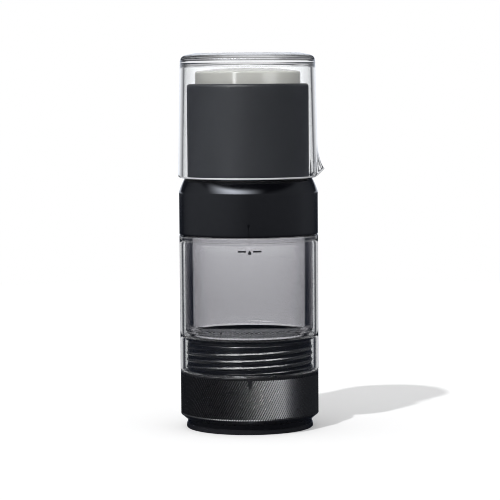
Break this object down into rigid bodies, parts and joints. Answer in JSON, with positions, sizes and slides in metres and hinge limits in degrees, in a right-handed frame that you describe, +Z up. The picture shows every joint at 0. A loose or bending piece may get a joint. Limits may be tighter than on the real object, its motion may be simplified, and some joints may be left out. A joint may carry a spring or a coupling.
{
  "type": "coffee concentrate maker",
  "caption": "Upright hand-pumped coffee concentrate maker: knurled coffee basket, clear water chamber, screw-on pump with pull handle, and a clear carafe stored upside down on top.",
  "frame": {"origin": "on the common axis, at the height of the table that the foot ring stands on", "axes": "+Z up along the common axis, +X towards the carafe's pouring lip"},
  "size_m": [0.0822, 0.0784, 0.21],
  "materials": {
    "black_plastic": "satin moulded",
    "grip_plastic": "knurled, semi-matte",
    "basket_plastic": "polished moulded",
    "foot_rubber": "smooth glossy",
    "clear_copolyester": "clear polished",
    "smoke_copolyester": "smoke-tinted, polished",
    "handle_plastic": "fine matte",
    "tamper_plastic": "warm grey satin",
    "silicone": "matte",
    "stainless": "rolled and perforated",
    "white_acetal": "smooth moulded"
  },
  "bodies": {
    "base": {"brew_basket": "basket_plastic", "grip_ring": "grip_plastic", "drain_base": "black_plastic", "foot_ring": "foot_rubber", "metal_filter": "stainless", "filter_gasket": "silicone"},
    "chamber_seal": {"chamber_gasket": "silicone"},
    "chamber": {"outer_shell": "clear_copolyester", "inner_chamber": "smoke_copolyester", "screen_ring": "black_plastic", "dispersion_screen": "stainless"},
    "pump_seal": {"pump_gasket": "silicone"},
    "pump": {"pump_collar": "black_plastic", "pump_cylinder": "black_plastic", "cylinder_screws": "stainless", "outlet_valve": "silicone", "cylinder_cap": "black_plastic", "rod_bush": "white_acetal"},
    "handle": {"pump_handle": "handle_plastic", "piston_rod": "stainless", "piston_head": "black_plastic", "piston_cup": "silicone", "piston_screw": "stainless", "rod_screw": "stainless", "tamper_cap": "tamper_plastic"},
    "carafe": {"carafe": "clear_copolyester"}
  },
  "joints": [
    {"name": "chamber_rise", "type": "slide", "parent": "base", "child": "chamber_seal", "axis": [0, 0, 1], "range_m": [0, 0.01135]},
    {"name": "chamber_turn", "type": "hinge", "parent": "chamber_seal", "child": "chamber", "pos_m": [0, 0, 0.0488], "axis": [0, 0, 1], "range_deg": [0, 540]},
    {"name": "pump_rise", "type": "slide", "parent": "chamber", "child": "pump_seal", "axis": [0, 0, 1], "range_m": [0, 0.01135]},
    {"name": "pump_turn", "type": "hinge", "parent": "pump_seal", "child": "pump", "pos_m": [0, 0, 0.1192], "axis": [0, 0, 1], "range_deg": [0, 540]},
    {"name": "pump_stroke", "type": "slide", "parent": "pump", "child": "handle", "axis": [0, 0, 1], "range_m": [0, 0.04]},
    {"name": "carafe_lift", "type": "slide", "parent": "handle", "child": "carafe", "axis": [0, 0, 1], "range_m": [0, 0.075]}
  ],
  "couplings": [
    {"joint": "chamber_rise", "follows": "chamber_turn", "m_per_rad": 0.0011937},
    {"joint": "pump_rise", "follows": "pump_turn", "m_per_rad": 0.0011937}
  ]
}
